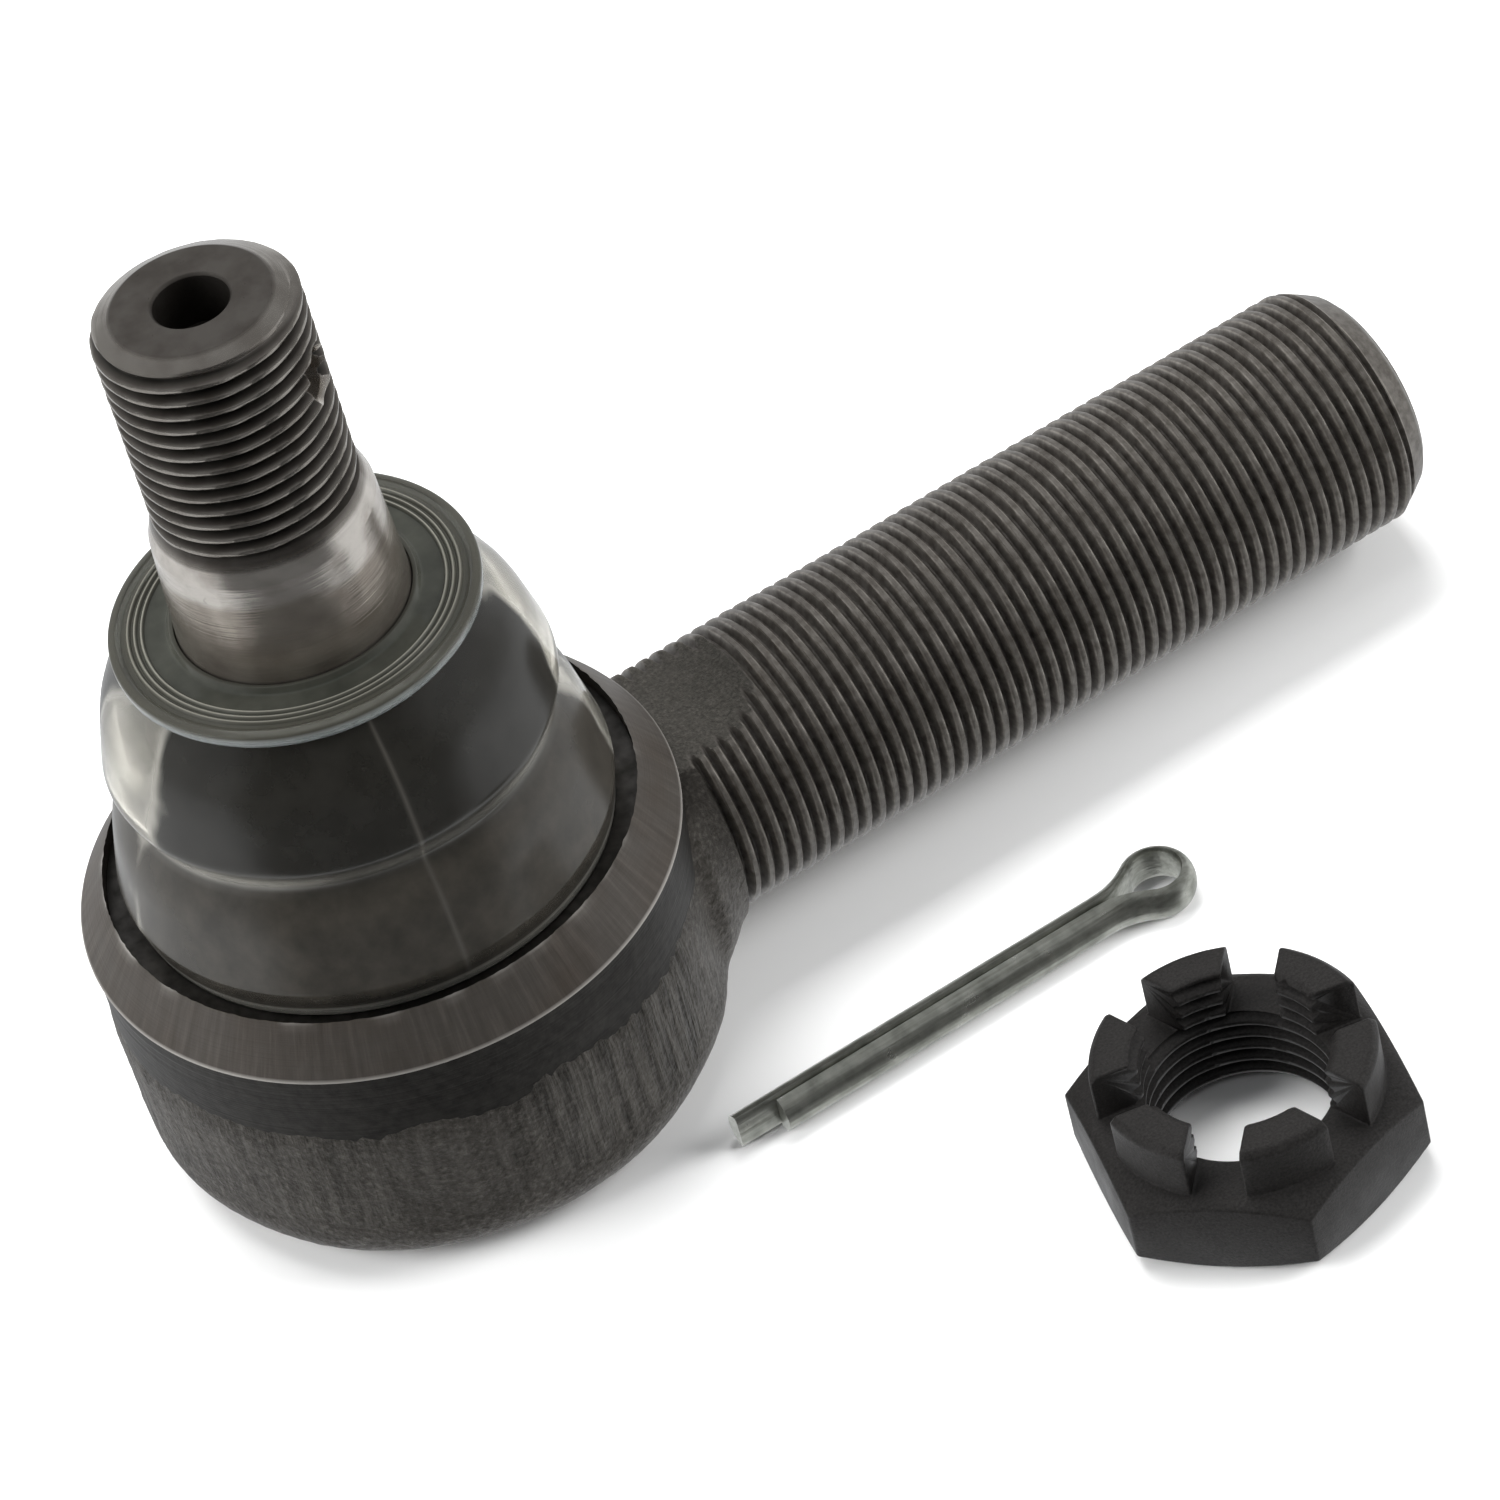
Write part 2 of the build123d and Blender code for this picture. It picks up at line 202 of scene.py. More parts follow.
def skin(name, rings, joined=False, attributes=None):
    """Closed mesh through rings of points: capped at both ends, or the last ring joined to the first."""
    count, around, _ = rings.shape
    points = rings.reshape(-1, 3)
    row = np.arange(count if joined else count - 1)[:, None]
    column = np.arange(around)[None, :]
    next_row, next_column = (row + 1) % count, (column + 1) % around
    quads = np.stack(
        [
            row * around + column,
            row * around + next_column,
            next_row * around + next_column,
            next_row * around + column,
        ],
        axis=-1,
    ).reshape(-1, 4)
    faces = quads.tolist()
    if not joined:
        first, last = count * around, count * around + 1
        points = np.vstack((points, rings[0].mean(0), rings[-1].mean(0)))
        top = (count - 1) * around
        for k in range(around):
            following = (k + 1) % around
            faces.append([first, following, k])
            faces.append([last, top + k, top + following])
    mesh = bpy.data.meshes.new(name)
    mesh.from_pydata((points * MM).tolist(), [], faces)
    mean_radius = np.linalg.norm(rings - rings.mean(1, keepdims=True), axis=-1).mean()
    lengths = np.linalg.norm(np.diff(rings[:, 0], axis=0, append=rings[:1, 0]), axis=-1)
    along = np.concatenate(([0], np.cumsum(lengths)))
    step_round = 2 * pi * mean_radius / around
    face_columns = np.stack((column, column + 1, column + 1, column), -1) * step_round
    u = np.broadcast_to(face_columns, (len(row), around, 4))
    v = np.stack((along[row], along[row], along[row + 1], along[row + 1]), -1)
    v = np.broadcast_to(v, (len(row), around, 4))
    layout = np.zeros((len(mesh.loops), 2), np.float32)
    layout[: len(quads) * 4, 0] = u.reshape(-1)
    layout[: len(quads) * 4, 1] = v.reshape(-1)
    uv = mesh.uv_layers.new(name="millimetres")
    uv.uv.foreach_set("vector", layout.ravel())
    for key, values in (attributes or {}).items():
        field = mesh.attributes.new(key, "FLOAT", "POINT")
        padded = np.zeros(len(points), np.float32)
        padded[: values.size] = values.reshape(-1)
        field.data.foreach_set("value", padded)
    face_outwards(mesh)
    return mesh


def face_outwards(mesh, sharp_angle=38.0):
    """Turns the faces outwards and shades the mesh smooth up to a sharp angle."""
    work = bmesh.new()
    work.from_mesh(mesh)
    bmesh.ops.recalc_face_normals(work, faces=work.faces)
    work.to_mesh(mesh)
    work.free()
    mesh.polygons.foreach_set("use_smooth", [True] * len(mesh.polygons))
    mesh.set_sharp_from_angle(angle=radians(sharp_angle))


def applied(piece):
    """Mesh of a piece with its modifiers worked in."""
    graph = bpy.context.evaluated_depsgraph_get()
    mesh = bpy.data.meshes.new_from_object(piece.evaluated_get(graph))
    piece.modifiers.clear()
    piece.data = mesh
    return piece


def cut(piece, cutter_mesh):
    """Cuts a closed mesh out of a piece."""
    cutter = bpy.data.objects.new("cutter", cutter_mesh)
    bpy.context.scene.collection.objects.link(cutter)
    boolean = piece.modifiers.new("cut", "BOOLEAN")
    boolean.operation = "DIFFERENCE"
    boolean.solver = "EXACT"
    boolean.object = cutter
    applied(piece)
    bpy.data.objects.remove(cutter)
    face_outwards(piece.data)


def thread_depth(turns, crest_share=0.18, root_share=0.2):
    """Depth below the crest, from 0 to 1, at a number of turns along a 60-degree thread."""
    across = np.abs((turns % 1.0) * 2 - 1)
    flank = np.clip((across - root_share) / (1 - crest_share - root_share), 0, 1)
    return 1 - (0.5 * flank + 0.5 * flank * flank * (3 - 2 * flank))


# ---------------------------------------------------------------- materials


def colour(hex_value):
    """Linear colour for an sRGB hex value."""
    parts = [int(hex_value[k : k + 2], 16) / 255 for k in (1, 3, 5)]
    return tuple(p / 12.92 if p <= 0.04045 else ((p + 0.055) / 1.055) ** 2.4 for p in parts) + (1.0,)


def add(tree, kind, links=(), **settings):
    """Adds a node with its settings; each link joins one of its inputs to another node's output."""
    made = tree.nodes.new("ShaderNode" + kind)
    for name, value in settings.items():
        if name in made.inputs:
            made.inputs[name].default_value = value
        elif hasattr(made, name):
            setattr(made, name, value)
        else:
            made.inputs[name.replace("_", " ")].default_value = value
    for name, source in dict(links).items():
        tree.links.new(source, made.inputs[name])
    return made


def material(name):
    """New node material: its tree and its Principled shader."""
    made = bpy.data.materials.new(name)
    made.use_nodes = True
    return made, made.node_tree, made.node_tree.nodes["Principled BSDF"]


def ramp(tree, source, stops, interpolation="LINEAR"):
    """Colour ramp over (position, colour or grey) stops."""
    made = add(tree, "ValToRGB", {"Fac": source})
    made.color_ramp.interpolation = interpolation
    while len(made.color_ramp.elements) < len(stops):
        made.color_ramp.elements.new(0.5)
    for element, (position, value) in zip(made.color_ramp.elements, stops):
        element.position = position
        element.color = colour(value) if isinstance(value, str) else (value, value, value, 1)
    return made.outputs["Color"]


def place(tree, scale=(1.0, 1.0, 1.0)):
    """Position on the piece in millimetres, scaled along each axis."""
    source = add(tree, "TexCoord")
    per_mm = [s / MM for s in scale]
    return add(tree, "Mapping", {"Vector": source.outputs["Object"]}, Scale=per_mm).outputs["Vector"]


def unrolled(tree, scale=(1.0, 1.0, 1.0)):
    """Position round and along a turned piece in millimetres, scaled along each."""
    source = add(tree, "UVMap", uv_map="millimetres")
    return add(tree, "Mapping", {"Vector": source.outputs["UV"]}, Scale=scale).outputs["Vector"]


def noise_at(tree, vector, scale, detail=4.0, roughness=0.55):
    """Noise with features per millimetre."""
    made = add(tree, "TexNoise", {"Vector": vector}, Scale=scale, Detail=detail, Roughness=roughness)
    return made.outputs["Fac"]


def mixed(tree, factor, one, other, blend_type="MIX"):
    """Mix of two colours or sockets by a factor."""
    made = add(tree, "Mix", data_type="RGBA", blend_type=blend_type)
    for socket, value in ((made.inputs[0], factor), (made.inputs[6], one), (made.inputs[7], other)):
        if isinstance(value, bpy.types.NodeSocket):
            tree.links.new(value, socket)
        else:
            socket.default_value = value
    return made.outputs[2]


def bumped(tree, shader, heights):
    """Bump from (height, depth in millimetres) pairs, one on top of the other."""
    normal = None
    for height, depth in heights:
        links = {"Height": height}
        if normal is not None:
            links["Normal"] = normal
        normal = add(tree, "Bump", links, Strength=1.0, Distance=depth * MM).outputs["Normal"]
    tree.links.new(normal, shader.inputs["Normal"])


def forged_steel():
    """Drop-forged steel, shot-blasted: a dark grey skin with a fine sandy grain and die-draw streaks."""
    made, tree, shader = material("forged_steel_shot_blasted")
    drawn = add(tree, "Attribute", attribute_name="drawn").outputs["Fac"]
    spot = place(tree)
    grit = noise_at(tree, spot, 1.9, 5.0, 0.65)
    blotch = noise_at(tree, spot, 0.16, 3.0)
    streak = noise_at(tree, place(tree, (1.0, 1.0, 0.1)), 0.85, 3.0, 0.6)
    base = ramp(tree, grit, [(0.3, "#53504c"), (0.55, "#6b6864"), (0.78, "#938f89")])
    worn = ramp(tree, blotch, [(0.35, "#bdb8b2"), (0.65, "#e6e2dc")])
    skin_colour = mixed(tree, 0.75, base, worn, "MULTIPLY")
    rubbed = ramp(tree, streak, [(0.38, "#454340"), (0.62, "#86827c")])
    lined = mixed(tree, 0.6, skin_colour, rubbed)
    tree.links.new(mixed(tree, drawn, skin_colour, lined), shader.inputs["Base Color"])
    shader.inputs["Metallic"].default_value = 0.92
    tree.links.new(ramp(tree, grit, [(0.3, 0.52), (0.8, 0.36)]), shader.inputs["Roughness"])
    furrows = mixed(tree, drawn, (0.5, 0.5, 0.5, 1), streak)
    bumped(tree, shader, [(grit, 0.3), (furrows, 1.0), (blotch, 0.3)])
    return made


def turned_steel():
    """Turned steel under a thin film of oil: brownish grey, radial scuffs, its sharp edges lightened as a
    painted highlight.
    """
    made, tree, shader = material("turned_steel_oiled")
    edge = add(tree, "Attribute", attribute_name="edge").outputs["Fac"]
    marks = noise_at(tree, unrolled(tree, (0.02, 5.0, 1.0)), 1.0, 3.0)
    scuffs = noise_at(tree, unrolled(tree, (1.6, 0.08, 1.0)), 1.0, 4.0, 0.7)
    blotch = noise_at(tree, place(tree), 0.12, 3.0)
    base = ramp(tree, scuffs, [(0.3, "#524e4a"), (0.52, "#5b5753"), (0.75, "#6a6661")])
    rust = ramp(tree, blotch, [(0.45, "#e2dfdb"), (0.75, "#cdbcab")])
    film = mixed(tree, 0.6, base, rust, "MULTIPLY")
    # The edge mask lightens the ring's outer edge and inner burr: a painted highlight.
    tree.links.new(mixed(tree, edge, film, colour("#c9c5bf")), shader.inputs["Base Color"])
    shader.inputs["Metallic"].default_value = 0.6
    tree.links.new(ramp(tree, marks, [(0.3, 0.42), (0.7, 0.56)]), shader.inputs["Roughness"])
    bumped(tree, shader, [(marks, 0.03), (scuffs, 0.05)])
    return made


def turned_band_steel():
    """Turned steel darkened by the forging skin's scale: smooth, near black, a dull sheen."""
    made, tree, shader = material("turned_steel_dark")
    marks = noise_at(tree, unrolled(tree, (0.03, 4.0, 1.0)), 1.0, 2.0)
    spot = noise_at(tree, place(tree), 0.9, 4.0)
    tree.links.new(ramp(tree, spot, [(0.3, "#292725"), (0.7, "#383633")]), shader.inputs["Base Color"])
    shader.inputs["Metallic"].default_value = 0.8
    tree.links.new(ramp(tree, marks, [(0.3, 0.42), (0.7, 0.55)]), shader.inputs["Roughness"])
    bumped(tree, shader, [(marks, 0.03), (spot, 0.05)])
    return made


def thread_steel():
    """Rolled thread steel under oil: roots darkened as painted shade, a light band at the crest edges as
    painted highlight, with the as-forged flat left sandy.
    """
    made, tree, shader = material("rolled_thread_steel")
    root = add(tree, "Attribute", attribute_name="root").outputs["Fac"]
    bare = add(tree, "Attribute", attribute_name="forged").outputs["Fac"]
    spot = place(tree)
    speck = noise_at(tree, spot, 1.1, 5.0, 0.6)
    grit = noise_at(tree, spot, 2.6, 5.0, 0.65)
    # Darker roots are painted shade, and the light band near the crests is a painted highlight.
    thread_tone_with_painted_light = ramp(tree, root, [(0.0, "#6a6661"), (0.08, "#928d86"), (0.25, "#6f6b66"), (0.9, "#605c58")])
    oil = ramp(tree, speck, [(0.35, "#a39e98"), (0.62, "#ffffff")])
    cut_steel = mixed(tree, 0.7, thread_tone_with_painted_light, oil, "MULTIPLY")
    skin_steel = ramp(tree, grit, [(0.3, "#43413d"), (0.55, "#57544f"), (0.8, "#726e68")])
    tree.links.new(mixed(tree, bare, cut_steel, skin_steel), shader.inputs["Base Color"])
    shader.inputs["Metallic"].default_value = 0.55
    rough = ramp(tree, root, [(0.0, 0.36), (0.5, 0.46), (1.0, 0.6)])
    tree.links.new(mixed(tree, bare, rough, (0.62, 0.62, 0.62, 1)), shader.inputs["Roughness"])
    depth = mixed(tree, bare, (0.5, 0.5, 0.5, 1), grit)
    bumped(tree, shader, [(speck, 0.03), (depth, 0.25)])
    return made


def ground_steel():
    """Ground and rolled stud steel: satin, with fine marks round the axis and a few dull blotches."""
    made, tree, shader = material("ground_stud_steel")
    root = add(tree, "Attribute", attribute_name="root").outputs["Fac"]
    seat = add(tree, "Attribute", attribute_name="seat").outputs["Fac"]
    marks = noise_at(tree, place(tree, (0.05, 0.05, 6.0)), 1.0, 3.0)
    spot = noise_at(tree, place(tree), 0.3, 3.0)
    fleck = noise_at(tree, place(tree), 2.4, 3.0, 0.7)
    # On the thread, the lighter crests are a painted highlight and the darker roots are painted shade.
    steel = ramp(tree, root, [(0.0, "#d0ccc7"), (0.14, "#94908b"), (0.4, "#6b6763"), (0.9, "#3c3a37")])
    wear = ramp(tree, spot, [(0.35, "#c2bcb6"), (0.6, "#f4f2ee")])
    worn = mixed(tree, 0.7, steel, wear, "MULTIPLY")
    rubbed = mixed(tree, 1.0, worn, colour("#d6d2cd"), "MULTIPLY")
    tinted = mixed(tree, seat, worn, rubbed)
    flecks = ramp(tree, fleck, [(0.66, "#ffffff"), (0.74, "#857c73")])
    tree.links.new(mixed(tree, 0.5, tinted, flecks, "MULTIPLY"), shader.inputs["Base Color"])
    shader.inputs["Metallic"].default_value = 0.88
    tree.links.new(ramp(tree, root, [(0.1, 0.2), (0.5, 0.45)]), shader.inputs["Roughness"])
    bumped(tree, shader, [(marks, 0.03)])
    return made


def clear_polyurethane():
    """Moulded clear polyurethane: black where grease wets it from inside, see-through where it has let go and
    along the bulge's fold as a painted highlight.
    """
    made, tree, shader = material("polyurethane_clear")
    wetted_less_fold_highlight = add(tree, "Attribute", attribute_name="wetted_less_fold_highlight").outputs["Fac"]
    skirt = add(tree, "Attribute", attribute_name="skirt").outputs["Fac"]
    line = add(tree, "Attribute", attribute_name="line").outputs["Fac"]
    haze = noise_at(tree, place(tree), 0.2, 3.0)
    smear = noise_at(tree, place(tree), 0.35, 4.0, 0.6)
    clear = ramp(tree, haze, [(0.3, "#b9b7ad"), (0.7, "#d3d0c7")])
    upper_dark = ramp(tree, smear, [(0.3, "#1e1d1a"), (0.7, "#252421")])
    lower_dark = ramp(tree, smear, [(0.3, "#2c2a26"), (0.7, "#393631")])
    dark = mixed(tree, line, mixed(tree, skirt, upper_dark, lower_dark), colour("#403e3a"))
    tree.links.new(mixed(tree, wetted_less_fold_highlight, clear, dark), shader.inputs["Base Color"])
    tree.links.new(ramp(tree, wetted_less_fold_highlight, [(0.0, 0.84), (1.0, 0.0)]), shader.inputs["Transmission Weight"])
    shader.inputs["IOR"].default_value = 1.5
    tree.links.new(ramp(tree, wetted_less_fold_highlight, [(0.0, 0.1), (1.0, 0.24)]), shader.inputs["Roughness"])
    return made


def smoky_polyurethane():
    """Moulded polyurethane over a steel ring: dark grey-green in the middle, greyer rim, ridge tops painted
    pale as a highlight, clear collar.
    """
    made, tree, shader = material("polyurethane_smoky")
    rim = add(tree, "Attribute", attribute_name="rim").outputs["Fac"]
    collar = add(tree, "Attribute", attribute_name="collar").outputs["Fac"]
    crest = add(tree, "Attribute", attribute_name="crest").outputs["Fac"]
    haze = noise_at(tree, place(tree), 0.35, 3.0)
    dark = ramp(tree, haze, [(0.3, "#31322d"), (0.7, "#3d3e38")])
    # Ridge tops get a pale colour as a painted highlight.
    moulded = mixed(tree, crest, mixed(tree, rim, dark, colour("#46453e")), colour("#a3a196"))
    tree.links.new(mixed(tree, collar, moulded, colour("#a6acac")), shader.inputs["Base Color"])
    see_through = ramp(tree, rim, [(0.0, 0.0), (1.0, 0.3)])
    passed_light = mixed(tree, collar, see_through, (0.75, 0.75, 0.75, 1))
    tree.links.new(passed_light, shader.inputs["Transmission Weight"])
    shader.inputs["IOR"].default_value = 1.5
    shader.inputs["Roughness"].default_value = 0.1
    bumped(tree, shader, [(haze, 0.05)])
    return made


def grease():
    """Lithium grease with molybdenum: nearly black, wet, smeared against the boot."""
    made, tree, shader = material("grease_black")
    smear = noise_at(tree, place(tree), 0.25, 4.0)
    tree.links.new(ramp(tree, smear, [(0.3, "#171613"), (0.7, "#2b2925")]), shader.inputs["Base Color"])
    shader.inputs["Roughness"].default_value = 0.35
    shader.inputs["IOR"].default_value = 1.48
    bumped(tree, shader, [(smear, 0.2)])
    return made


def phosphated_steel():
    """Steel with a black manganese phosphate coat, oiled: matt charcoal with a fine crystalline grain."""
    made, tree, shader = material("black_phosphate_steel")
    crystal = noise_at(tree, place(tree), 4.0, 4.0, 0.7)
    rub = noise_at(tree, place(tree), 0.3, 3.0)
    tree.links.new(ramp(tree, crystal, [(0.3, "#252423"), (0.7, "#3b3938")]), shader.inputs["Base Color"])
    shader.inputs["Metallic"].default_value = 0.55
    tree.links.new(ramp(tree, rub, [(0.35, 0.5), (0.7, 0.38)]), shader.inputs["Roughness"])
    bumped(tree, shader, [(crystal, 0.04)])
    return made


def zinc_steel():
    """Zinc-plated steel wire: soft greenish silver, drawn lines along the wire."""
    made, tree, shader = material("zinc_plated_wire")
    drawn = noise_at(tree, place(tree, (0.1, 3.0, 3.0)), 1.0, 3.0)
    stain = noise_at(tree, place(tree), 0.5, 4.0)
    plate = ramp(tree, stain, [(0.3, "#94968e"), (0.7, "#c0c1b9")])
    lines = ramp(tree, drawn, [(0.3, "#b5b3ab"), (0.6, "#ffffff")])
    tree.links.new(mixed(tree, 0.5, plate, lines, "MULTIPLY"), shader.inputs["Base Color"])
    shader.inputs["Metallic"].default_value = 0.9
    tree.links.new(ramp(tree, stain, [(0.3, 0.4), (0.7, 0.26)]), shader.inputs["Roughness"])
    bumped(tree, shader, [(drawn, 0.05)])
    return made


def pressed_steel():
    """Cold-pressed steel strip: even grey with a light oil film."""
    made, tree, shader = material("pressed_strip_steel")
    film = noise_at(tree, place(tree), 0.6, 4.0)
    tree.links.new(ramp(tree, film, [(0.3, "#4b4946"), (0.7, "#6a6764")]), shader.inputs["Base Color"])
    shader.inputs["Metallic"].default_value = 1.0
    tree.links.new(ramp(tree, film, [(0.3, 0.45), (0.7, 0.32)]), shader.inputs["Roughness"])
    return made


def acetal():
    """Moulded acetal, unpigmented: waxy white with a slight sheen."""
    made, tree, shader = material("acetal_natural")
    haze = noise_at(tree, place(tree), 0.5, 3.0)
    tree.links.new(ramp(tree, haze, [(0.3, "#e2dfd3"), (0.7, "#eeebe0")]), shader.inputs["Base Color"])
    shader.inputs["Roughness"].default_value = 0.42
    return made


def studio_floor():
    """Matt white sweep."""
    made, tree, shader = material("white_sweep")
    tooth = noise_at(tree, place(tree), 0.02, 2.0)
    tree.links.new(ramp(tree, tooth, [(0.0, "#fbfbfa"), (1.0, "#ffffff")]), shader.inputs["Base Color"])
    shader.inputs["Roughness"].default_value = 0.9
    return made


# ---------------------------------------------------------------- head and shank


def machined_head(ring_steel, band_steel):
    """Turned inside, sloping top ring and dark band of the head."""
    edge_width = 0.3
    fall = np.array((RING_EDGE_RADIUS - RING_INNER_RADIUS, RING_EDGE_HEIGHT - RING_TOP))
    fall /= np.linalg.norm(fall)
    outer_edge = np.array((RING_EDGE_RADIUS, RING_EDGE_HEIGHT)) - fall * edge_width
    inner_edge = np.array((RING_INNER_RADIUS, RING_TOP)) + fall * edge_width
    profile = outline(
        [
            (0.0, 0.6, 0),
            (20.0, 0.6, 0),
            (25.2, 5.0, 3.0),
            (25.9, 16.5, 0),
            (BAND_RADIUS, 17.5, 0),
            (BAND_RADIUS, RING_EDGE_HEIGHT - edge_width, 0),
            (RING_EDGE_RADIUS, RING_EDGE_HEIGHT - 0.1, 0),
            (RING_EDGE_RADIUS, RING_EDGE_HEIGHT, 0),
            (*outer_edge, 0),
            (*inner_edge, 0),
            (RING_INNER_RADIUS, RING_TOP, 0),
            (RING_INNER_RADIUS, RING_TOP - edge_width, 0),
            (RING_INNER_RADIUS, MOUTH_FLOOR, 0),
            (20.0, MOUTH_FLOOR, 0),
            (20.0, 24.7, 0),
            (16.6, 24.7, 0),
            (16.6, 9.0, 0),
            (12.2, 4.4, 0),
            (11.2, 4.4, 0),
            (11.2, 2.8, 0),
            (0.0, 2.8, 0),
        ],
        step=0.7,
    )
    rings = turned(profile, 420)[1:-1]
    radius = np.hypot(rings[..., 0], rings[..., 1])
    burr = smooth_step(RING_TOP - 0.35, RING_TOP, rings[..., 2]) * smooth_step(22.0, 23.9, radius)
    rough = np.abs(grain(rings, 0.9, 3.1) * 0.09 + grain(rings, 0.35, 7.7) * 0.05)
    # The outer edge and the ragged inner burr get a lighter colour as a painted highlight.
    outer = smooth_step(RING_EDGE_RADIUS - 0.15, RING_EDGE_RADIUS, radius)
    ragged = smooth_step(-0.1, 0.5, grain(rings, 3.4, 12.0))
    edge = np.maximum(outer * 0.6, burr * ragged * 0.6)
    rings = pushed(rings, -rough * burr * 1.6)
    mesh = skin("machined_head", rings, attributes={"edge": edge})
    piece = new_object("machined_head", mesh, "housing", ring_steel)
    mesh.materials.append(band_steel)
    for face in mesh.polygons:
        below_edge = face.center.z < (RING_EDGE_HEIGHT - 0.12) * MM
        face.material_index = 1 if below_edge and face.center.xy.length > 26.0 * MM else 0
    return piece


def forged_shell(steel):
    """Forged outside of the head with the round neck that carries the shank, blended as one skin."""
    wall = outline(
        [
            (0.0, 0.0, 0),
            (HEAD_RADIUS - 0.05, 0.0, HEAD_CORNER),
            (HEAD_RADIUS - 0.05, 16.8, 3.0),
            (26.45, 21.6, 0.3),
            (25.2, 21.6, 0),
            (25.2, 1.5, 0),
            (0.0, 1.5, 0),
        ],
        step=0.5,
    )
    rings = turned(wall, 360)[1:-1]
    # The turned band cuts into the forging along a wavy line, because the forging is not quite round.
    waviness = grain(rings * np.array((1.0, 1.0, 0.2)), 14.0, 3.7) * 0.22
    out_of_round = waviness * smooth_step(14.0, 19.0, rings[..., 2])
    outer = smooth_step(25.4, 26.2, np.hypot(rings[..., 0], rings[..., 1]))
    shell = skin("forged_shell", pushed(rings, np.minimum(out_of_round, 0.0) * outer))
    neck = outline(
        [
            (0.0, 20.4, 0),
            (FLARE_RADIUS, 20.4, 0),
            (FLARE_RADIUS, FLARE_START, 0.8),
            (BOSS_RADIUS, FLARE_END, 1.2),
            (BOSS_RADIUS, BOSS_END, 0.3),
            (0.0, BOSS_END, 0),
        ],
        step=0.5,
    )
    rings = turned(neck, 240)[1:-1]
    rings = np.stack((rings[..., 2], rings[..., 0], rings[..., 1] + SHANK_HEIGHT), axis=-1)
    rings[..., 2] = np.clip(rings[..., 2], 0.0, FLAT_HEIGHT - 0.12)
    joined = bmesh.new()
    joined.from_mesh(shell)
    joined.from_mesh(skin("neck", rings))
    mesh = bpy.data.meshes.new("forged_head")
    joined.to_mesh(mesh)
    joined.free()
    piece = new_object("forged_head", mesh, None, steel)
    remesh = piece.modifiers.new("one_skin", "REMESH")
    remesh.mode = "VOXEL"
    remesh.voxel_size = 0.4 * MM
    applied(piece)
    points = np.array([v.co for v in piece.data.vertices]) / MM
    # The crease between head and neck is a forged fillet, so it is relaxed much more than the rest.
    out = np.hypot(points[:, 0], points[:, 1]) - HEAD_RADIUS
    about = np.hypot(points[:, 1], points[:, 2] - SHANK_HEIGHT) - FLARE_RADIUS
    near = np.exp(-((out / 2.0) ** 2) - (about / 2.4) ** 2) * (points[:, 0] > 0)
    group = piece.vertex_groups.new(name="fillet")
    for index, weight in enumerate(near):
        group.add([index], float(max(weight, 0.04)), "REPLACE")
    relax = piece.modifiers.new("relax", "SMOOTH")
    relax.vertex_group = "fillet"
    relax.factor = 0.6
    relax.iterations = 18
    applied(piece)
    mesh = piece.data
    points = np.array([v.co for v in mesh.vertices]) / MM
    normals = np.array([v.normal for v in mesh.vertices])
    sand = grain(points, 0.85, 1.3) * 0.045 + grain(points, 2.6, 5.1) * 0.05
    drawn = smooth_step(5.0, 8.5, points[:, 2]) * smooth_step(20.0, 17.5, points[:, 2])
    drawn *= smooth_step(FLARE_START - 1.0, FLARE_START - 3.0, points[:, 0])
    drawn *= 0.35 + 0.65 * smooth_step(-0.25, 0.2, grain(points * np.array((1.0, 1.0, 0.3)), 12.0, 6.3))
    streak = grain(points * np.array((1.0, 1.0, 0.1)), 1.0, 9.2) * 0.13 * drawn
    lump = grain(points, 8.0, 2.4) * 0.16
    lift = (sand + streak + lump) * smooth_step(0.3, 2.0, points[:, 2])
    moved = points + normals * (lift - 0.12 * smooth_step(0.3, 2.0, points[:, 2]))[:, None]
    moved[:, 2] = np.maximum(moved[:, 2], 0.0)
    mesh.vertices.foreach_set("co", (moved * MM).ravel())
    mesh.attributes.new("drawn", "FLOAT", "POINT").data.foreach_set("value", drawn.astype(np.float32))
    face_outwards(mesh, 60.0)
    mesh.materials.clear()
    mesh.materials.append(steel)
    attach(piece, "housing")
    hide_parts("housing")
    return piece


